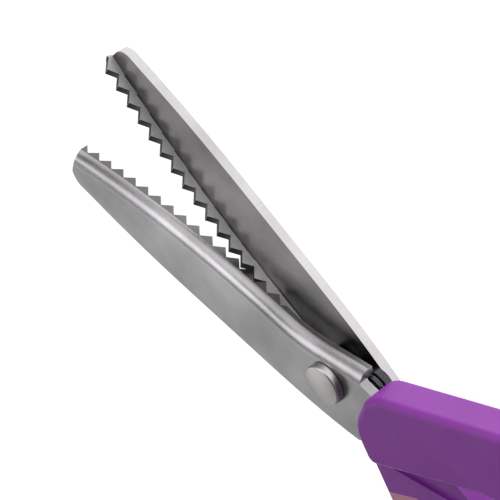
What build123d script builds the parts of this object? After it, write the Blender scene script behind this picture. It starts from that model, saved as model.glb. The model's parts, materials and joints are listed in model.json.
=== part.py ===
from build123d import *
import math
import os

os.makedirs("parts", exist_ok=True)

# Pinking shears lying on their lower side, open.  Millimetres.
# +Z is the pivot axis, +X runs from the pivot to the tips, and z = 0 is the surface they rest on.
# The two halves are alike: each is drawn in its own half frame, in which the cutting side is +y,
# the mid-plane between the halves is z = 0, and this half lies below it.

# --- overall layout ---
mid_height = 8.9           # mid-plane above the resting surface
open_angle = 8.3           # turn of the upper half from the mirror image of the lower half
closed_axis_angle = 6.6    # turn of the closed shears' centre line from a half's own x axis

# --- blade sheet ---
sheet = 2.6                # thickness of the pressed stainless sheet
half_gap = 2.5             # mid-plane to the inner face of a blade
bend_radius = 3.6          # outer radius of the bend between plate and flange
inner_bend_radius = 0.4
blade_curve_radius = 300.0
edge_rise = 5.1            # cutting face above the x axis at the pivot
blade_end = 99.9           # end of the flange at the tip
flange_end = (-7.7, 12.9)  # end of the flange behind the pivot, on its outer face
flare_angle = 22.1         # degrees, by which the cutting side swings outwards, towards its handle
flare_radius = 45.0        # of the arc that leads into the swing
tip_corner = (97.8, -20.2)  # where the spine would meet the end of the blade, before rounding
tip_radius = 5.0
tip_lean = 1.5             # how far the end of the blade leans back, below lean_top, to its outer face
lean_top = -1.2
blade_reach = 40.0         # wider than the blade either way

# --- teeth: a zigzag of concentric rings round the pivot, so both blades mesh at every angle ---
pitch = 5.0
tooth_height = 2.17
tooth_gap = 0.12           # clearance between the two zigzag surfaces
tooth_count = 16
smooth_gap = 0.4           # clearance between the plain stretches of the two flanges
lower_first_tip = 98.0
upper_first_tip = lower_first_tip + pitch / 2
land_height = 2.7          # ground strip along the cutting face, measured down from the tooth tips
land_depth = 0.12

# --- pivot ---
screw_radius = 2.5
bush_radius = 3.5
pivot_fit = 0.04
head_radius = 5.85
head_height = 2.6
head_edge = 0.9
screw_point = 0.5
spacer_radius = 6.0
thrust_washer = 0.5
thrust_washer_radius = 5.2
wave_washer = 0.6
wave_washer_radius = 5.6
wave_washer_bore = screw_radius + 0.12
nut_across_flats = 10.0
nut_bevel = 25.0           # degrees, on the corners of the nut's lower end
slide_gap = 0.05           # play along the pivot between the turning half and what clamps it

# --- rear guide between the blades ---
guide_x, guide_y = -10.6, 6.65
stud_radius = 3.9
stud_neck_radius = 2.6
stud_flange = (-1.5, -0.2)  # heights of the stud's flange in the half frame
pad_radius = 4.35
pad_heights = (0.1, half_gap - 0.1)
pad_edge = 0.3
guide_pin_radius = 1.6
guide_pin_top = 1.8
guide_recess = 4.4         # recess for the guide in the front of the upper handle

# --- handles ---
handle_bottom = -8.9       # outer face of a handle, in the half frame
handle_top = 0.8           # inner face, on the part that the other handle doesn't cross
lip_top = -0.2             # inner face of the lip that slides past the other handle
face_round = 2.0
inner_round = 0.8
liner = 3.2                # thickness of the soft lining round a finger hole
tang_hole_radius = 2.6
slab_size = 400.0

# --- drawing aids ---
overrun = 1.0              # how far a cutter runs past what it cuts
same_place = 0.01          # two points closer than this are one
near_line = 0.4            # an edge closer than this to the cutting side belongs to it

lower_half = Plane(origin=(0, 0, mid_height), x_dir=(1, 0, 0), z_dir=(0, 0, 1))
turn = math.radians(open_angle)
upper_half = Plane(origin=(0, 0, mid_height), x_dir=(math.cos(turn), math.sin(turn), 0), z_dir=(0, 0, -1))

plate_bottom = -half_gap - sheet
curve_centre = Vector(0, edge_rise - blade_curve_radius)
flare = math.radians(flare_angle)
flare_along = Vector(math.cos(flare), -math.sin(flare))
flare_out = Vector(math.sin(flare), math.cos(flare))


def from_axis(back, out):
    """Point of a half frame, from its distances behind the pivot and out from the closed centre line."""
    angle = math.radians(closed_axis_angle)
    x = -back * math.cos(angle) + out * math.sin(angle)
    y = back * math.sin(angle) + out * math.cos(angle)
    return (x, y)


def on_blade_curve(x, inset=0.0):
    radius = blade_curve_radius - inset
    return Vector(x, curve_centre.Y + math.sqrt(radius**2 - x**2))


def find_flare_centre():
    """Centre of the arc that touches both the blade curve and the straight stretch at the flange's end."""
    start = Vector(*flange_end) + flare_out * flare_radius - curve_centre
    reach = blade_curve_radius + flare_radius
    along = start.dot(flare_along)
    shift = -along - math.sqrt(along**2 - start.dot(start) + reach**2)
    return curve_centre + start + flare_along * shift


flare_centre = find_flare_centre()


# ---------------------------------------------------------------- blades

def cutting_side(inset):
    """Points along the flange's outer face, or a surface that far inside it, from tip to flange end."""
    radius = flare_radius + inset
    to_blade = (curve_centre - flare_centre).normalized()
    tip = on_blade_curve(blade_end, inset)
    join = flare_centre + to_blade * radius
    middle = on_blade_curve((blade_end + join.X) / 2, inset)
    swing = flare_centre + (to_blade - flare_out).normalized() * radius
    leave = flare_centre - flare_out * radius
    end = Vector(*flange_end) - flare_out * inset
    return tip, middle, join, swing, leave, end


def draw_cutting_side(inset):
    """Blade curve, flare and straight end in the current sketch; gives the two ends of the line."""
    tip, middle, join, swing, leave, end = cutting_side(inset)
    ThreePointArc(tip, middle, join)
    ThreePointArc(join, swing, leave)
    Line(leave, end)
    return tip, end


spine_points = [(-14.0, -9.9), (0.0, -13.0), (30.0, -16.5), (62.0, -19.4), (90.0, -20.05)]
tang_outline = [(-20.5, -4.2), (-44.0, 17.5), (-36.0, 26.0), (-14.5, 10.6)]
tang_holes = [(-27.5, 7.5), (-36.5, 16.5)]


def plate_outline():
    """Plan of the flat of a blade with its tang, as a closed line in the current sketch."""
    tip, end = draw_cutting_side(0)
    inner_end = cutting_side(sheet)[-1]
    Polyline(end, inner_end, tang_outline[3], tang_outline[2], tang_outline[1], tang_outline[0],
             spine_points[0])
    Spline(*spine_points)
    Polyline(spine_points[-1], tip_corner, tip)


def flange_outline():
    """Plan of the upright flange, one sheet thick."""
    tip, end = draw_cutting_side(0)
    inner_tip, inner_end = draw_cutting_side(sheet)
    Line(tip, inner_tip)
    Line(end, inner_end)


def tooth_profile(first_tip, ends_in_root):
    """Points of the zigzag from the tip inwards, as radius and height, down to the plain stretch."""
    top = (tooth_height - tooth_gap) / 2
    root = (-tooth_height - tooth_gap) / 2
    plain = -smooth_gap / 2
    slope = tooth_height / (pitch / 2)
    points = [(first_tip + 3 * pitch / 2, root), (first_tip + pitch, top)]
    for number in range(tooth_count):
        tip_at = first_tip - number * pitch
        points.append((tip_at + pitch / 2, root))
        points.append((tip_at, top))
    last_tip = first_tip - (tooth_count - 1) * pitch
    if ends_in_root:
        points.append((last_tip - pitch / 2, root))
        points.append((last_tip - pitch / 2 - (plain - root) / slope, plain))
    else:
        points.append((last_tip - (top - plain) / slope, plain))
    return points


def edges_at(part, half, height, wanted=lambda x, y: True):
    """Edges that lie flat at a height of the half frame and whose middle satisfies wanted(x, y)."""
    found = []
    for edge in part.edges():
        ends = [half.to_local_coords(edge @ place) for place in (0, 0.5, 1)]
        if all(abs(point.Z - height) < same_place for point in ends) and wanted(ends[1].X, ends[1].Y):
            found.append(edge)
    return found


def upright_edges(part, half, corner):
    """Edges along the pivot direction that stand on a corner of the plan."""
    found = []
    for edge in part.edges():
        middle = half.to_local_coords(edge @ 0.5)
        if math.dist((middle.X, middle.Y), corner) < same_place:
            found.append(edge)
    return found


def near_cutting_side(inset):
    tip, middle, join, swing, leave, end = cutting_side(inset)

    def check(x, y):
        if not end.X < x < tip.X - same_place:
            return False
        if x > join.X:
            gap = y - on_blade_curve(x, inset).Y
        elif x > leave.X:
            gap = (Vector(x, y) - flare_centre).length - flare_radius - inset
        else:
            gap = (Vector(x, y) - end).dot(flare_out)
        return abs(gap) < near_line
    return check


def make_blade(half, first_tip, ends_in_root):
    """Pressed blade: a flat plate with its tang, and a flange bent up along the cutting side."""
    zigzag = tooth_profile(first_tip, ends_in_root)
    side_plane = Plane(origin=half.origin, x_dir=half.x_dir, z_dir=-half.y_dir)
    below = 2 * plate_bottom - lean_top
    with BuildPart() as blade:
        with BuildSketch(half.offset(plate_bottom)):
            with BuildLine():
                plate_outline()
            make_face()
        extrude(amount=sheet)
        fillet(upright_edges(blade.part, half, tip_corner), tip_radius)
        with BuildSketch(half.offset(plate_bottom)):
            with BuildLine():
                flange_outline()
            make_face()
        extrude(amount=sheet + half_gap + tooth_height)

        fillet(edges_at(blade.part, half, plate_bottom, near_cutting_side(0)), bend_radius)
        fillet(edges_at(blade.part, half, -half_gap, near_cutting_side(sheet)), inner_bend_radius)

        # the leaning end
        with BuildSketch(side_plane):
            with BuildLine():
                Polyline((blade_end, lean_top), (blade_end - 2 * tip_lean, below),
                         (blade_end + overrun, below), close=True)
            make_face()
        extrude(amount=blade_reach, both=True, mode=Mode.SUBTRACT)

        # the ground land along the cutting face
        with BuildSketch(half.offset(tooth_height / 2 - land_height)):
            with BuildLine():
                outer_tip, outer_end = draw_cutting_side(-overrun)
                tip, end = draw_cutting_side(land_depth)
                Line(outer_tip, tip)
                Line(outer_end, end)
            make_face()
        extrude(amount=2 * tooth_height, mode=Mode.SUBTRACT)

        # the teeth
        with BuildSketch(side_plane):
            with BuildLine():
                Polyline(*zigzag, (overrun, zigzag[-1][1]), (overrun, 2 * tooth_height),
                         (zigzag[0][0], 2 * tooth_height), close=True)
            make_face()
        revolve(axis=Axis(half.origin, half.z_dir), mode=Mode.SUBTRACT)

        # the pivot hole and the holes that lock the tang in its handle
        with BuildSketch(half.offset(plate_bottom)):
            Circle(bush_radius + pivot_fit)
            with Locations(*tang_holes):
                Circle(tang_hole_radius)
        extrude(amount=sheet, mode=Mode.SUBTRACT)
    return blade


lower_blade = make_blade(lower_half, lower_first_tip, False)
upper_blade = make_blade(upper_half, upper_first_tip, True)


# ---------------------------------------------------------------- handles

# outline corners and their radii, anticlockwise from the front corner on the outer side
lower_outline = [
    ((-13.6, 12.5), 5), (from_axis(80, 45), 40), (from_axis(136, 51), 24), (from_axis(142, 3), 20),
    (from_axis(98, 1), 40), ((-52.0, -5.2), 40), ((-19.3, -5.0), 3), ((-13.9, 1.8), 4),
]
upper_outline = [
    ((-13.2, 14.2), 11), (from_axis(76, 53.1), 28), (from_axis(128, 57), 24), (from_axis(135, 10), 20),
    (from_axis(86, 4), 20), (from_axis(60, 19), 16), ((-21.3, -8.4), 3), ((-12.8, -0.4), 10),
]

# finger hole: middle, radius, distance between the middles of its round ends, turn
lower_hole = {"middle": from_axis(96, 26), "radius": 13.0, "run": 38.0, "turn": 2.0}
upper_hole = {"middle": from_axis(99, 31), "radius": 14.0, "run": 18.0, "turn": 0.0}

# the outer bow of each handle is soft grip
lower_grip_area = [
    (-24.5, 28.3), (-35.7, 12.9), from_axis(68, 24), from_axis(122, 28), from_axis(160, 24),
    from_axis(160, 90), from_axis(10, 90),
]
upper_grip_area = [
    from_axis(52, 80), from_axis(61, 36), from_axis(66, 31), from_axis(80, 31), from_axis(118, 31),
    from_axis(160, 26), from_axis(160, 90),
]

# where a handle is cut back to a thin lip, to slide past the other handle
lower_lip_area = [
    from_axis(5, 28.6), from_axis(42.8, -4.6), from_axis(56, -4.6), from_axis(62, -14),
    from_axis(62, -40), from_axis(5, -40),
]
upper_lip_area = [from_axis(5, 11.5), from_axis(56, 11.5), from_axis(56, -40), from_axis(5, -40)]


def finger_hole(hole, wall=0.0, mode=Mode.ADD):
    with Locations(hole["middle"]):
        SlotCenterToCenter(hole["run"], 2 * (hole["radius"] + wall),
                           rotation=hole["turn"] - closed_axis_angle, mode=mode)


def holed_slab(half, hole):
    """Wide slab, as thick as a handle, with a rounded finger hole."""
    with BuildPart() as slab:
        with BuildSketch(half.offset(handle_bottom)):
            Rectangle(slab_size, slab_size)
            finger_hole(hole, mode=Mode.SUBTRACT)
        extrude(amount=handle_top - handle_bottom)
        fillet(edges_at(slab.part, half, handle_bottom, inside_slab), face_round)
        fillet(edges_at(slab.part, half, handle_top, inside_slab), inner_round)
    return slab


def inside_slab(x, y):
    return max(abs(x), abs(y)) < slab_size / 2 - overrun


def whole_handle(half, outline, slab, lip_area):
    """Handle with its soft grip still in one piece."""
    with BuildPart() as handle:
        with BuildSketch(half.offset(handle_bottom)):
            with BuildLine():
                FilletPolyline(*[point for point, radius in outline],
                               radius=[radius for point, radius in outline], close=True)
            make_face()
        extrude(amount=handle_top - handle_bottom)
        fillet(edges_at(handle.part, half, handle_bottom), face_round)
        fillet(edges_at(handle.part, half, handle_top), inner_round)
        add(slab.part, mode=Mode.INTERSECT)
        with BuildSketch(half.offset(lip_top)):
            with BuildLine():
                Polyline(*lip_area, close=True)
            make_face()
        extrude(amount=handle_top - lip_top + overrun, mode=Mode.SUBTRACT)
    return handle


def grip_zone(half, hole, grip_area):
    """Space that the soft grip takes up: the outer bow and a lining round the finger hole."""
    with BuildPart() as zone:
        with BuildSketch(half.offset(handle_bottom - overrun)):
            with BuildLine():
                Polyline(*grip_area, close=True)
            make_face()
            finger_hole(hole, liner)
        extrude(amount=handle_top - handle_bottom + 2 * overrun)
    return zone


def make_grip(whole, zone, blade):
    """Soft grip, moulded on afterwards."""
    with BuildPart() as grip:
        add(whole.part)
        add(zone.part, mode=Mode.INTERSECT)
        add(blade.part, mode=Mode.SUBTRACT)
    return grip


def make_shell(whole, zone, blade):
    """Hard handle, moulded round the tang of its blade."""
    with BuildPart() as shell:
        add(whole.part)
        add(zone.part, mode=Mode.SUBTRACT)
        add(blade.part, mode=Mode.SUBTRACT)
    return shell


lower_whole = whole_handle(lower_half, lower_outline, holed_slab(lower_half, lower_hole), lower_lip_area)
lower_zone = grip_zone(lower_half, lower_hole, lower_grip_area)
lower_grip = make_grip(lower_whole, lower_zone, lower_blade)
lower_handle = make_shell(lower_whole, lower_zone, lower_blade)

upper_whole = whole_handle(upper_half, upper_outline, holed_slab(upper_half, upper_hole), upper_lip_area)
upper_zone = grip_zone(upper_half, upper_hole, upper_grip_area)
upper_grip = make_grip(upper_whole, upper_zone, upper_blade)
upper_shell = make_shell(upper_whole, upper_zone, upper_blade)
with BuildPart() as upper_handle:
    add(upper_shell.part)
    with BuildSketch(upper_half.offset(-half_gap)):
        with Locations((guide_x, guide_y)):
            Circle(guide_recess)
    extrude(amount=half_gap, mode=Mode.SUBTRACT)


# ---------------------------------------------------------------- pivot, from the top down

top_of_blades = mid_height + half_gap + sheet
bottom_of_blades = mid_height - half_gap - sheet
nut_top = bottom_of_blades - wave_washer


def ring(height, thickness, outer, inner):
    with BuildPart() as piece:
        with BuildSketch(Plane.XY.offset(height)):
            Circle(outer)
            Circle(inner, mode=Mode.SUBTRACT)
        extrude(amount=thickness)
    return piece


with BuildPart() as pivot_screw:
    with BuildSketch(Plane.XY.offset(top_of_blades + slide_gap)):
        Circle(head_radius)
    extrude(amount=head_height)
    fillet(pivot_screw.edges().group_by(Axis.Z)[-1], head_edge)
    with BuildSketch(Plane.XY):
        Circle(screw_radius)
    extrude(amount=top_of_blades + slide_gap)
    chamfer(pivot_screw.edges().group_by(Axis.Z)[0], screw_point)

bush = ring(bottom_of_blades, top_of_blades - bottom_of_blades + slide_gap,
            bush_radius, screw_radius + pivot_fit)

lower_thrust_washer = ring(mid_height - half_gap, thrust_washer,
                           thrust_washer_radius, bush_radius + pivot_fit)
spacer_height = 2 * half_gap - 2 * thrust_washer - slide_gap
spacer = ring(mid_height - half_gap + thrust_washer, spacer_height, spacer_radius, bush_radius + pivot_fit)
upper_thrust_washer = ring(mid_height + half_gap - slide_gap - thrust_washer, thrust_washer,
                           thrust_washer_radius, bush_radius + pivot_fit)
spring_washer = ring(nut_top, wave_washer, wave_washer_radius, wave_washer_bore)

with BuildPart() as pivot_nut:
    with BuildSketch(Plane.XY):
        RegularPolygon(nut_across_flats / 2, 6, major_radius=False)
        Circle(screw_radius, mode=Mode.SUBTRACT)
    extrude(amount=nut_top)
    with BuildSketch(Plane.XY):
        Circle(nut_across_flats / 2)
    extrude(amount=nut_top, taper=-nut_bevel, mode=Mode.INTERSECT)


# ---------------------------------------------------------------- rear guide, on the upper blade

with BuildPart() as guide_stud:
    with BuildSketch(upper_half.offset(-half_gap)):
        with Locations((guide_x, guide_y)):
            Circle(stud_neck_radius)
    extrude(amount=half_gap + stud_flange[0])
    with BuildSketch(upper_half.offset(stud_flange[0])):
        with Locations((guide_x, guide_y)):
            Circle(stud_radius)
    extrude(amount=stud_flange[1] - stud_flange[0])
    with BuildSketch(upper_half.offset(stud_flange[1])):
        with Locations((guide_x, guide_y)):
            Circle(guide_pin_radius)
    extrude(amount=guide_pin_top - stud_flange[1])

with BuildPart() as guide_pad:
    with BuildSketch(upper_half.offset(pad_heights[0])):
        with Locations((guide_x, guide_y)):
            Circle(pad_radius)
    extrude(amount=pad_heights[1] - pad_heights[0])
    fillet(guide_pad.edges(), pad_edge)
    with BuildSketch(upper_half.offset(pad_heights[0])):
        with Locations((guide_x, guide_y)):
            Circle(guide_pin_radius)
    extrude(amount=guide_pin_top - pad_heights[0], mode=Mode.SUBTRACT)


# ---------------------------------------------------------------- one STEP for each piece

pieces = {
    "lower_blade": lower_blade,
    "lower_handle": lower_handle,
    "lower_grip": lower_grip,
    "upper_blade": upper_blade,
    "upper_handle": upper_handle,
    "upper_grip": upper_grip,
    "pivot_screw": pivot_screw,
    "pivot_bush": bush,
    "lower_thrust_washer": lower_thrust_washer,
    "pivot_spacer": spacer,
    "upper_thrust_washer": upper_thrust_washer,
    "spring_washer": spring_washer,
    "pivot_nut": pivot_nut,
    "guide_stud": guide_stud,
    "guide_pad": guide_pad,
}

for name, piece in pieces.items():
    piece.part.label = name
    export_step(piece.part, f"parts/{name}.step")
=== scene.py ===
import json
import math

import bmesh
import bpy
from mathutils import Matrix, Vector


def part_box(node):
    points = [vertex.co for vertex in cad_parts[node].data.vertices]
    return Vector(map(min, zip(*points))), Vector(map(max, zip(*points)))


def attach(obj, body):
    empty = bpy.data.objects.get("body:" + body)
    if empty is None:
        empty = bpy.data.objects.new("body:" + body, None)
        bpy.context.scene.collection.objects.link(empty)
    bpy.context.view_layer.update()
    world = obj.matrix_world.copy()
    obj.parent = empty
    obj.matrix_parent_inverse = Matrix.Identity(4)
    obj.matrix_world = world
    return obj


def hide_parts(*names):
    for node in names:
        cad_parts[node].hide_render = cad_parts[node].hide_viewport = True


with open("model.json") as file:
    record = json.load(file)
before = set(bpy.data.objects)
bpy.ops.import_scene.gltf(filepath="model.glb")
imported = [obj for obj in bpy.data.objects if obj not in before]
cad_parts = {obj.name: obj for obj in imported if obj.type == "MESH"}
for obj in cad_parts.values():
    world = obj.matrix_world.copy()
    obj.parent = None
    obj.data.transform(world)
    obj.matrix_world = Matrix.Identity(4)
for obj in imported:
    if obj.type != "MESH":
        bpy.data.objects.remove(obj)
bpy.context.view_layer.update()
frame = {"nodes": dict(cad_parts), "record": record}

mm = 0.001
bodyOf = {node: body for body, nodes in frame["record"]["behaviour"]["bodies"].items() for node in nodes}
print("frame loaded:", len(frame["nodes"]), "nodes")


# small helpers

def toLinear(hexColour):
    # sRGB hex to the linear colour that a socket wants
    parts = [int(hexColour[i:i + 2], 16) / 255 for i in (0, 2, 4)]
    linear = [c / 12.92 if c <= 0.04045 else ((c + 0.055) / 1.055) ** 2.4 for c in parts]
    return (*linear, 1)


def addNode(material, kind, settings=None, values=None, links=None):
    # settings are the node's own, values go to its sockets, links join other nodes' outputs to its sockets
    tree = material.node_tree
    node = tree.nodes.new(kind)
    for name, value in (settings or {}).items():
        setattr(node, name, value)
    for name, value in (values or {}).items():
        node.inputs[name].default_value = value
    for name, output in (links or {}).items():
        tree.links.new(output, node.inputs[name])
    return node


def newMaterial(name):
    material = bpy.data.materials.new(name)
    material.use_nodes = True
    material.node_tree.nodes.clear()
    return material


def newObject(name, mesh):
    piece = bpy.data.objects.new(name, mesh)
    bpy.context.scene.collection.objects.link(piece)
    return piece


# stainless steel: 420 stainless sheet and bar. Each finish is a direction of fine lines, a pair of greys
# that drift over the surface, and a range of roughness. A worn edge is polished brighter than the faces.

beltBrushed = {                     # outer faces, belt-brushed along the blade: soft, even, lines lengthwise
    "light": "c7c5c7", "dark": "9f9d9f",
    "lines": (9.0, 0.30, 0.30),     # mm between lines along x, y and z; real ones are finer than can be seen
    "roughness": (0.26, 0.38), "bump": 0.010, "scratch": 0.10, "edge": "dedcda",
}
surfaceGroundPaintedLight = {                   # the inside of the flange, ground across: softer, and lighter as painted light on this face
    "light": "f4f2f2", "dark": "e0dede",
    "lines": (0.25, 5.0, 5.0),
    "roughness": (0.62, 0.76), "bump": 0.008, "scratch": 0.05, "edge": "efedeb",
}
landGroundPaintedReflection = {                      # strip beside the teeth, ground with a fine wheel: even, and darker as a painted dark reflection
    "light": "8a8888", "dark": "6c6a6a",
    "lines": (0.3, 3.0, 0.3),
    "roughness": (0.30, 0.42), "bump": 0.006, "scratch": 0.0, "edge": "d8d6d4",
}
flankGroundPaintedShade = {                     # flanks of the teeth, cut through the sheet with a coarse wheel: darkest, as painted shade between the teeth
    "light": "5c5a5b", "dark": "444243",
    "lines": (0.3, 3.0, 0.3),
    "roughness": (0.34, 0.48), "bump": 0.008, "scratch": 0.0, "edge": "c0bebe",
}
millRolledPaintedShade = {                      # inside of the plate, as rolled and tumbled: cloudy gloss, and darker as painted shade between the blades
    "light": "a09e9e", "dark": "706e6e",
    "lines": (3.0, 1.2, 1.2),
    "roughness": (0.28, 0.40), "bump": 0.006, "scratch": 0.06, "edge": "c4c2c0",
}
shearedEdge = {                     # cut edge of the sheet, dressed on a belt: streaks through the thickness
    "light": "e4e2e1", "dark": "c6c4c3",
    "lines": (0.4, 0.4, 3.0),
    "roughness": (0.34, 0.50), "bump": 0.014, "scratch": 0.08, "edge": "e2e0de",
}
# what all these finishes share: lengths in mm, and pairs for where an effect starts and where it is full
steel = {
    "cloudSize": 18.0,              # drift of tone where the sheet was handled and cleaned
    "scratchSize": 7.0, "scratchThinness": 14, "scratchSlant": 0.5, "scratchFrom": (0.66, 0.72),
    "lineShare": 0.6, "toneSpread": (0.55, 1.05), "glossSpread": (0.32, 0.68), "bumpStrength": 0.6,
    "edgeRadius": 0.25, "edgeWear": (0.995, 0.90), "edgeShare": 0.7,
}


def stainless(name, look, turn=0.0):
    material = newMaterial(name)
    place = addNode(material, "ShaderNodeTexCoord")
    turned = addNode(material, "ShaderNodeMapping", None, {"Rotation": (0, 0, -turn)},
                     {"Vector": place.outputs["Object"]})
    scale = [1 / (spacing * mm) for spacing in look["lines"]]
    stretched = addNode(material, "ShaderNodeMapping", None, {"Scale": scale},
                        {"Vector": turned.outputs["Vector"]})
    lines = addNode(material, "ShaderNodeTexNoise", None, {"Scale": 1.0, "Detail": 4.0, "Roughness": 0.65},
                    {"Vector": stretched.outputs["Vector"]})
    clouds = addNode(material, "ShaderNodeTexNoise", None,
                     {"Scale": 1 / (steel["cloudSize"] * mm), "Detail": 4.0},
                     {"Vector": place.outputs["Object"]})
    length = steel["scratchSize"] * mm
    thin = addNode(material, "ShaderNodeMapping", None,
                   {"Scale": (1 / length, steel["scratchThinness"] / length, 1 / length),
                    "Rotation": (0, 0, steel["scratchSlant"] - turn)},
                   {"Vector": place.outputs["Object"]})
    stray = addNode(material, "ShaderNodeTexNoise", None, {"Scale": 1.0, "Detail": 2.0},
                    {"Vector": thin.outputs["Vector"]})
    scratches = addNode(material, "ShaderNodeMapRange", None,
                        {"From Min": steel["scratchFrom"][0], "From Max": steel["scratchFrom"][1]},
                        {"Value": stray.outputs["Fac"]})
    tone = addNode(material, "ShaderNodeMath", {"operation": "MULTIPLY_ADD"}, {1: steel["lineShare"]},
                   {0: lines.outputs["Fac"], 2: clouds.outputs["Fac"]})
    spread = addNode(material, "ShaderNodeMapRange", None,
                     {"From Min": steel["toneSpread"][0], "From Max": steel["toneSpread"][1]},
                     {"Value": tone.outputs[0]})
    greys = addNode(material, "ShaderNodeMix", {"data_type": "RGBA"},
                    {6: toLinear(look["dark"]), 7: toLinear(look["light"])}, {0: spread.outputs["Result"]})
    rounded = addNode(material, "ShaderNodeBevel", {"samples": 4}, {"Radius": steel["edgeRadius"] * mm})
    surface = addNode(material, "ShaderNodeNewGeometry")
    agreement = addNode(material, "ShaderNodeVectorMath", {"operation": "DOT_PRODUCT"}, None,
                        {0: rounded.outputs["Normal"], 1: surface.outputs["Normal"]})
    worn = addNode(material, "ShaderNodeMapRange", None,
                   {"From Min": steel["edgeWear"][0], "From Max": steel["edgeWear"][1],
                    "To Max": steel["edgeShare"]},
                   {"Value": agreement.outputs["Value"]})
    colour = addNode(material, "ShaderNodeMix", {"data_type": "RGBA"}, {7: toLinear(look["edge"])},
                     {0: worn.outputs["Result"], 6: greys.outputs[2]})
    gloss = addNode(material, "ShaderNodeMapRange", None,
                    {"From Min": steel["glossSpread"][0], "From Max": steel["glossSpread"][1],
                     "To Min": look["roughness"][0], "To Max": look["roughness"][1]},
                    {"Value": lines.outputs["Fac"]})
    marked = addNode(material, "ShaderNodeMath", {"operation": "MULTIPLY_ADD", "use_clamp": True},
                     {1: look["scratch"]}, {0: scratches.outputs["Result"], 2: gloss.outputs["Result"]})
    bump = addNode(material, "ShaderNodeBump", None,
                   {"Strength": steel["bumpStrength"], "Distance": look["bump"] * mm},
                   {"Height": lines.outputs["Fac"]})
    shader = addNode(material, "ShaderNodeBsdfPrincipled", None, {"Metallic": 1.0},
                     {"Base Color": colour.outputs[2], "Roughness": marked.outputs[0],
                      "Normal": bump.outputs["Normal"]})
    addNode(material, "ShaderNodeOutputMaterial", None, None, {"Surface": shader.outputs["BSDF"]})
    return material


latheTurned = {                     # screw, nut, bush and spring washer: rings round the pivot axis
    "light": "dad8d6", "dark": "c2c0bf", "ringSpacing": 0.28, "cloudSize": 3.0, "ringShare": 0.5,
    "toneSpread": (0.5, 1.0), "glossSpread": (0.3, 0.7), "roughness": (0.26, 0.38),
    "bump": 0.012, "bumpStrength": 0.5,
}


def turnedStainless(name, look):
    material = newMaterial(name)
    place = addNode(material, "ShaderNodeTexCoord")
    flat = addNode(material, "ShaderNodeVectorMath", {"operation": "MULTIPLY"}, {1: (1, 1, 0)},
                   {0: place.outputs["Object"]})
    radius = addNode(material, "ShaderNodeVectorMath", {"operation": "LENGTH"}, None,
                     {0: flat.outputs["Vector"]})
    rings = addNode(material, "ShaderNodeTexNoise", {"noise_dimensions": "1D"},
                    {"Scale": 1 / (look["ringSpacing"] * mm), "Detail": 3.0}, {"W": radius.outputs["Value"]})
    clouds = addNode(material, "ShaderNodeTexNoise", None,
                     {"Scale": 1 / (look["cloudSize"] * mm), "Detail": 5.0},
                     {"Vector": place.outputs["Object"]})
    tone = addNode(material, "ShaderNodeMath", {"operation": "MULTIPLY_ADD"}, {1: look["ringShare"]},
                   {0: rings.outputs["Fac"], 2: clouds.outputs["Fac"]})
    spread = addNode(material, "ShaderNodeMapRange", None,
                     {"From Min": look["toneSpread"][0], "From Max": look["toneSpread"][1]},
                     {"Value": tone.outputs[0]})
    greys = addNode(material, "ShaderNodeMix", {"data_type": "RGBA"},
                    {6: toLinear(look["dark"]), 7: toLinear(look["light"])}, {0: spread.outputs["Result"]})
    gloss = addNode(material, "ShaderNodeMapRange", None,
                    {"From Min": look["glossSpread"][0], "From Max": look["glossSpread"][1],
                     "To Min": look["roughness"][0], "To Max": look["roughness"][1]},
                    {"Value": clouds.outputs["Fac"]})
    bump = addNode(material, "ShaderNodeBump", None,
                   {"Strength": look["bumpStrength"], "Distance": look["bump"] * mm},
                   {"Height": rings.outputs["Fac"]})
    shader = addNode(material, "ShaderNodeBsdfPrincipled", None, {"Metallic": 1.0},
                     {"Base Color": greys.outputs[2], "Roughness": gloss.outputs["Result"],
                      "Normal": bump.outputs["Normal"]})
    addNode(material, "ShaderNodeOutputMaterial", None, None, {"Surface": shader.outputs["BSDF"]})
    return material


# moulded and blacked pieces: a tone that drifts, a fine surface texture and rubbed edges. Sizes are in mm.

mouldedAbs = {                      # purple ABS, injection moulded in a fine-sparked mould: satin, even
    "light": "a23fbb", "dark": "993ab0", "rubbed": "b35fc8", "flow": 30.0, "grain": 0.35, "bump": 0.012,
    "roughness": (0.38, 0.50), "ior": 1.54, "gloss": 0.38, "coat": 0.0, "soft": 0.0,
}
mouldedGrip = {                     # dusty pink thermoplastic rubber over the shell: matt, slightly powdery
    "light": "e8a0b6", "dark": "dc94aa", "rubbed": "efb4c4", "flow": 24.0, "grain": 0.5, "bump": 0.03,
    "roughness": (0.58, 0.72), "ior": 1.50, "gloss": 0.30, "coat": 0.0, "soft": 0.25,
}
mouldedNylon = {                    # black nylon, moulded and worn smooth by sliding: glossy, faint rub marks
    "light": "26262a", "dark": "1c1c1f", "rubbed": "3a3a3e", "flow": 4.0, "grain": 0.4, "bump": 0.006,
    "roughness": (0.10, 0.20), "ior": 1.53, "gloss": 0.60, "coat": 0.3, "soft": 0.0,
}
blackOxide = {                      # blacked and oiled steel: dark, with a thin glossy film of oil
    "light": "2c2c30", "dark": "1f1f22", "rubbed": "5a5a5c", "flow": 3.0, "grain": 0.3, "bump": 0.008,
    "roughness": (0.16, 0.28), "ior": 1.50, "gloss": 0.60, "coat": 0.5, "soft": 0.0,
}
# what these four share: lengths in mm, and pairs for where an effect starts and where it is full
skin = {"rubSize": 8.0, "toneSpread": (0.35, 0.65), "glossSpread": (0.3, 0.7), "bumpStrength": 0.5,
        "edgeRadius": 0.5, "edgeWear": (0.995, 0.90)}


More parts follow.
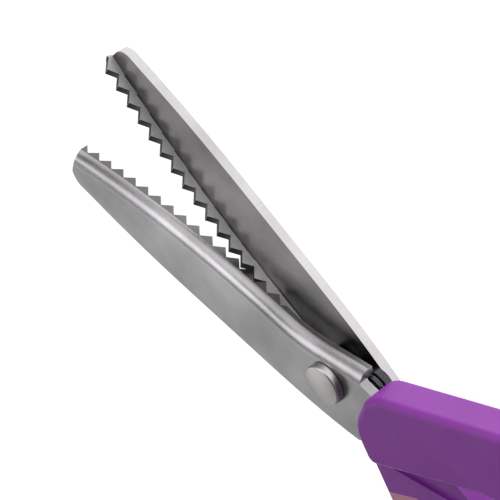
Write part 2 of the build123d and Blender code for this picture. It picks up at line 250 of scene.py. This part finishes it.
def moulded(name, look):
    material = newMaterial(name)
    place = addNode(material, "ShaderNodeTexCoord")
    flow = addNode(material, "ShaderNodeTexNoise", None, {"Scale": 1 / (look["flow"] * mm), "Detail": 3.0},
                   {"Vector": place.outputs["Object"]})
    grain = addNode(material, "ShaderNodeTexNoise", None, {"Scale": 1 / (look["grain"] * mm), "Detail": 2.0},
                    {"Vector": place.outputs["Object"]})
    rub = addNode(material, "ShaderNodeTexNoise", None,
                  {"Scale": 1 / (skin["rubSize"] * mm), "Detail": 6.0, "Roughness": 0.7},
                  {"Vector": place.outputs["Object"]})
    spread = addNode(material, "ShaderNodeMapRange", None,
                     {"From Min": skin["toneSpread"][0], "From Max": skin["toneSpread"][1]},
                     {"Value": flow.outputs["Fac"]})
    base = addNode(material, "ShaderNodeMix", {"data_type": "RGBA"},
                   {6: toLinear(look["dark"]), 7: toLinear(look["light"])}, {0: spread.outputs["Result"]})
    rounded = addNode(material, "ShaderNodeBevel", {"samples": 4}, {"Radius": skin["edgeRadius"] * mm})
    surface = addNode(material, "ShaderNodeNewGeometry")
    agreement = addNode(material, "ShaderNodeVectorMath", {"operation": "DOT_PRODUCT"}, None,
                        {0: rounded.outputs["Normal"], 1: surface.outputs["Normal"]})
    corner = addNode(material, "ShaderNodeMapRange", None,
                     {"From Min": skin["edgeWear"][0], "From Max": skin["edgeWear"][1]},
                     {"Value": agreement.outputs["Value"]})
    worn = addNode(material, "ShaderNodeMath", {"operation": "MULTIPLY", "use_clamp": True}, None,
                   {0: corner.outputs["Result"], 1: rub.outputs["Fac"]})
    colour = addNode(material, "ShaderNodeMix", {"data_type": "RGBA"}, {7: toLinear(look["rubbed"])},
                     {0: worn.outputs[0], 6: base.outputs[2]})
    gloss = addNode(material, "ShaderNodeMapRange", None,
                    {"From Min": skin["glossSpread"][0], "From Max": skin["glossSpread"][1],
                     "To Min": look["roughness"][0], "To Max": look["roughness"][1]},
                    {"Value": rub.outputs["Fac"]})
    bump = addNode(material, "ShaderNodeBump", None,
                   {"Strength": skin["bumpStrength"], "Distance": look["bump"] * mm},
                   {"Height": grain.outputs["Fac"]})
    shader = addNode(material, "ShaderNodeBsdfPrincipled", None,
                     {"IOR": look["ior"], "Specular IOR Level": look["gloss"],
                      "Coat Weight": look["coat"], "Sheen Weight": look["soft"]},
                     {"Base Color": colour.outputs[2], "Roughness": gloss.outputs["Result"],
                      "Normal": bump.outputs["Normal"]})
    addNode(material, "ShaderNodeOutputMaterial", None, None, {"Surface": shader.outputs["BSDF"]})
    return material


sheetFinishes = {
    "belt-brushed": beltBrushed, "surface-ground": surfaceGroundPaintedLight, "mill-rolled": millRolledPaintedShade,
    "sheared edge": shearedEdge, "fine-ground land": landGroundPaintedReflection, "coarse-ground flanks": flankGroundPaintedShade,
}
# the place of each finish in a blade's list of materials
brushed, ground, rolled, sheared, land, flank = range(len(sheetFinishes))

# the upper half is turned from the lower one, so its brushing is turned too
openAngle = math.radians(8.3)
steels = {}
for half, turn in (("lower", 0.0), ("upper", openAngle)):
    steels[half] = [stainless(half + " blade, stainless, " + finish, look, turn)
                    for finish, look in sheetFinishes.items()]
turnedSteel = turnedStainless("stainless bar, turned", latheTurned)
purpleAbs = moulded("purple ABS, moulded", mouldedAbs)
pinkGrip = moulded("pink thermoplastic rubber, moulded", mouldedGrip)
blackNylon = moulded("black nylon, moulded", mouldedNylon)
blackSteel = moulded("steel, black oxide, oiled", blackOxide)
print("materials made")


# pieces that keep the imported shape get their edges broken, as deburring and moulding leave them

broken = {"weld": 0.0005 * mm, "flatness": math.radians(0.05), "sharpFrom": math.radians(28),
          "roundness": 0.5, "faceWeight": 80}


def smoothAndWeigh(piece):
    # faces shade as one surface up to the sharp edges, and large faces stay flat
    for polygon in piece.data.polygons:
        polygon.use_smooth = True
    piece.data.set_sharp_from_angle(angle=broken["sharpFrom"])
    weigh = piece.modifiers.new("weighted normals", "WEIGHTED_NORMAL")
    weigh.keep_sharp = True
    weigh.weight = broken["faceWeight"]


def standFor(piece, node):
    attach(piece, bodyOf[node])
    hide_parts(node)


def edgeBroken(node, name, width, segments, materials, chooseMaterial=None):
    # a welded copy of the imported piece, with every sharp outer edge rounded by width
    shape = bmesh.new()
    shape.from_mesh(frame["nodes"][node].data)
    bmesh.ops.remove_doubles(shape, verts=shape.verts, dist=broken["weld"])
    bmesh.ops.dissolve_limit(shape, angle_limit=broken["flatness"], verts=shape.verts, edges=shape.edges)
    shape.normal_update()
    for face in shape.faces:
        face.material_index = chooseMaterial(face) if chooseMaterial else 0
    sharp = [edge for edge in shape.edges
             if edge.is_manifold and edge.calc_face_angle_signed() > broken["sharpFrom"]]
    bmesh.ops.bevel(shape, geom=sharp, offset=width, offset_type="OFFSET", affect="EDGES",
                    segments=segments, profile=broken["roundness"], material=-1, clamp_overlap=True)
    mesh = bpy.data.meshes.new(name)
    shape.to_mesh(mesh)
    shape.free()
    for material in materials:
        mesh.materials.append(material)
    piece = newObject(name, mesh)
    smoothAndWeigh(piece)
    standFor(piece, node)


# blades: brushed outside, as rolled inside, ground on the flange's inner face and the teeth; the greys
# inside, on the flange, the land and the flanks carry painted light and shade

blade = {
    "brokenEdge": 0.10 * mm, "segments": 2,
    "level": 0.9,              # a face whose normal is this upright is part of the flat
    "upright": 0.35,           # and one this level stands on edge
    "flangeLine": (-5.0, -0.11),   # mm, parts the flange's side from the spine's: start and slope
    "toothReach": 1.6,         # mm either side of the mid-plane that the teeth take up
    "flank": 0.3,              # a face this much off level and off upright is a tooth's flank
}
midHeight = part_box("upper_blade")[0].z + (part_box("lower_blade")[1].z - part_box("upper_blade")[0].z) / 2


def bladeFinish(isUpper):
    side = -1 if isUpper else 1
    turn = Matrix.Rotation(-openAngle if isUpper else 0, 3, "Z")

    def choose(face):
        middle = turn @ face.calc_center_median() / mm
        normal = turn @ face.normal
        along, across = middle.x, middle.y * side
        up = normal.z * side
        height = (middle.z - midHeight / mm) * side
        start, slope = blade["flangeLine"]
        onFlange = across > start + slope * along
        # the plate's inside, the land and the flanks get darker greys as painted shade and painted
        # reflection, and the flange's inner face a lighter one as painted light
        if up > blade["level"] and height < -blade["toothReach"]:
            return rolled
        toothed = onFlange and abs(height) < blade["toothReach"]
        if toothed and abs(up) > blade["flank"]:
            return flank
        if toothed and normal.y * side > blade["upright"]:
            return land
        if onFlange and normal.y * side < -blade["upright"]:
            return ground if abs(up) < blade["flank"] else flank
        if not onFlange and abs(up) < blade["upright"]:
            return sheared
        return brushed
    return choose


edgeBroken("lower_blade", "lowerBlade", blade["brokenEdge"], blade["segments"], steels["lower"],
           bladeFinish(False))
edgeBroken("upper_blade", "upperBlade", blade["brokenEdge"], blade["segments"], steels["upper"],
           bladeFinish(True))
print("blades made")


# handles and grips: moulded, their parting edges rounded a little

handle = {"partingEdge": 0.18 * mm, "segments": 3}
for half in ("lower", "upper"):
    edgeBroken(half + "_handle", half + "Handle", handle["partingEdge"], handle["segments"], [purpleAbs])
    edgeBroken(half + "_grip", half + "Grip", handle["partingEdge"], handle["segments"], [pinkGrip])
print("handles made")


# pivot screw: spun from its profile, with a shallow dome and a rolled rim on the head

screw = {"domeRise": 0.35, "rim": 0.55, "shoulder": 0.25, "steps": 96, "domeSteps": 6, "rimSteps": 6,
         "shankRadius": 2.5, "point": 0.5}


def pivotScrew():
    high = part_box("pivot_screw")[1]
    radius = high.x / mm
    top = high.z / mm
    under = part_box("pivot_bush")[1].z / mm
    rimTop = top - screw["domeRise"]
    sphere = ((radius - screw["rim"])**2 + screw["domeRise"]**2) / (2 * screw["domeRise"])
    profile = [(0, top)]
    for step in range(1, screw["domeSteps"] + 1):
        out = (radius - screw["rim"]) * step / screw["domeSteps"]
        profile.append((out, top - sphere + math.sqrt(sphere**2 - out**2)))
    for step in range(1, screw["rimSteps"] + 1):
        angle = math.pi / 2 * step / screw["rimSteps"]
        profile.append((radius - screw["rim"] * (1 - math.sin(angle)),
                        rimTop - screw["rim"] * (1 - math.cos(angle))))
    profile += [(radius, under + screw["shoulder"]), (radius - screw["shoulder"], under),
                (screw["shankRadius"], under), (screw["shankRadius"], screw["point"]),
                (screw["shankRadius"] - screw["point"], 0), (0, 0)]
    shape = bmesh.new()
    ring = [shape.verts.new((r * mm, 0, z * mm)) for r, z in profile]
    edges = [shape.edges.new(pair) for pair in zip(ring, ring[1:])]
    bmesh.ops.spin(shape, geom=ring + edges, cent=(0, 0, 0), axis=(0, 0, 1), angle=2 * math.pi,
                   steps=screw["steps"], use_merge=True)
    bmesh.ops.remove_doubles(shape, verts=shape.verts, dist=broken["weld"])
    bmesh.ops.recalc_face_normals(shape, faces=shape.faces)
    mesh = bpy.data.meshes.new("pivotScrew")
    shape.to_mesh(mesh)
    shape.free()
    mesh.materials.append(turnedSteel)
    piece = newObject("pivotScrew", mesh)
    smoothAndWeigh(piece)
    standFor(piece, "pivot_screw")


pivotScrew()

fastener = {"brokenEdge": 0.10 * mm, "segments": 2}
smallParts = {
    "pivot_bush": ("pivotBush", turnedSteel),
    "pivot_nut": ("pivotNut", turnedSteel),
    "spring_washer": ("springWasher", turnedSteel),
    "pivot_spacer": ("pivotSpacer", blackSteel),
    "lower_thrust_washer": ("lowerThrustWasher", blackNylon),
    "upper_thrust_washer": ("upperThrustWasher", blackNylon),
    "guide_stud": ("guideStud", blackSteel),
    "guide_pad": ("guidePad", blackNylon),
}
for node, (name, material) in smallParts.items():
    edgeBroken(node, name, fastener["brokenEdge"], fastener["segments"], [material])
print("pivot and guide made")


# studio: a white light table, a soft panel in front, a card behind, and two panels high on the tips' side

studio = {
    "floorSize": 6.0, "floorDrop": 0.05 * mm, "floorColour": "c8c8c8", "floorRoughness": 0.9,
    "glowColour": "ffffff", "floorGlow": 0.88,
    "worldColour": "ffffff", "worldStrength": 0.12,
}
# place and aim in metres, width and height of the panel, and its brightness
panels = {
    "frontPanel": {"place": (0.70, -1.25, 0.50), "aim": (0.0, 0.0, 0.01), "size": (2.0, 0.9), "bright": 1.0},
    "backCard": {"place": (0.30, 1.15, 0.62), "aim": (0.03, 0.0, 0.01), "size": (1.4, 0.55), "bright": 0.50},
    "topPanel": {"place": (0.78, -0.15, 0.95), "aim": (0.05, 0.0, 0.01), "size": (0.75, 0.85), "bright": 1.9},
    "rearPanel": {"place": (0.55, 0.80, 0.90), "aim": (0.05, 0.0, 0.01), "size": (0.9, 0.60), "bright": 0.6},
}
# places in metres, lens and sensor in millimetres, roll in degrees about the line of sight
cameraSet = {
    "place": (-0.07412, -0.44080, 0.24922), "aim": (0.03818, -0.00562, 0.00890),
    "roll": -124.27, "lens": 144.24, "sensor": 36.0, "clipStart": 0.01,
}


def makeFloor():
    shape = bmesh.new()
    bmesh.ops.create_grid(shape, x_segments=1, y_segments=1, size=studio["floorSize"] / 2,
                          matrix=Matrix.Translation((0, 0, -studio["floorDrop"])))
    mesh = bpy.data.meshes.new("floor")
    shape.to_mesh(mesh)
    shape.free()
    material = newMaterial("opal acrylic light table")
    shader = addNode(material, "ShaderNodeBsdfPrincipled", None,
                     {"Base Color": toLinear(studio["floorColour"]), "Roughness": studio["floorRoughness"],
                      "Emission Color": toLinear(studio["glowColour"]),
                      "Emission Strength": studio["floorGlow"]})
    addNode(material, "ShaderNodeOutputMaterial", None, None, {"Surface": shader.outputs["BSDF"]})
    mesh.materials.append(material)
    newObject("floor", mesh)


def makePanel(name, look):
    width, height = look["size"]
    data = bpy.data.lights.new(name, "AREA")
    data.shape = "RECTANGLE"
    data.size = width
    data.size_y = height
    data.energy = look["bright"] * math.pi * width * height
    panel = newObject(name, data)
    here = Vector(look["place"])
    aim = (Vector(look["aim"]) - here).to_track_quat("-Z", "Y").to_matrix().to_4x4()
    panel.matrix_world = Matrix.Translation(here) @ aim


def makeCamera():
    data = bpy.data.cameras.new("camera")
    data.lens = cameraSet["lens"]
    data.sensor_width = cameraSet["sensor"]
    data.clip_start = cameraSet["clipStart"]
    camera = newObject("camera", data)
    here = Vector(cameraSet["place"])
    level = (Vector(cameraSet["aim"]) - here).to_track_quat("-Z", "Y").to_matrix()
    rolled = level @ Matrix.Rotation(math.radians(cameraSet["roll"]), 3, "Z")
    camera.matrix_world = Matrix.Translation(here) @ rolled.to_4x4()
    bpy.context.scene.camera = camera


def makeWorld():
    world = bpy.data.worlds.new("studio")
    world.use_nodes = True
    background = world.node_tree.nodes["Background"]
    background.inputs["Color"].default_value = toLinear(studio["worldColour"])
    background.inputs["Strength"].default_value = studio["worldStrength"]
    bpy.context.scene.world = world
    bpy.context.scene.view_settings.view_transform = "Standard"


makeFloor()
for panelName, panelLook in panels.items():
    makePanel(panelName, panelLook)
makeCamera()
makeWorld()
print("studio made")
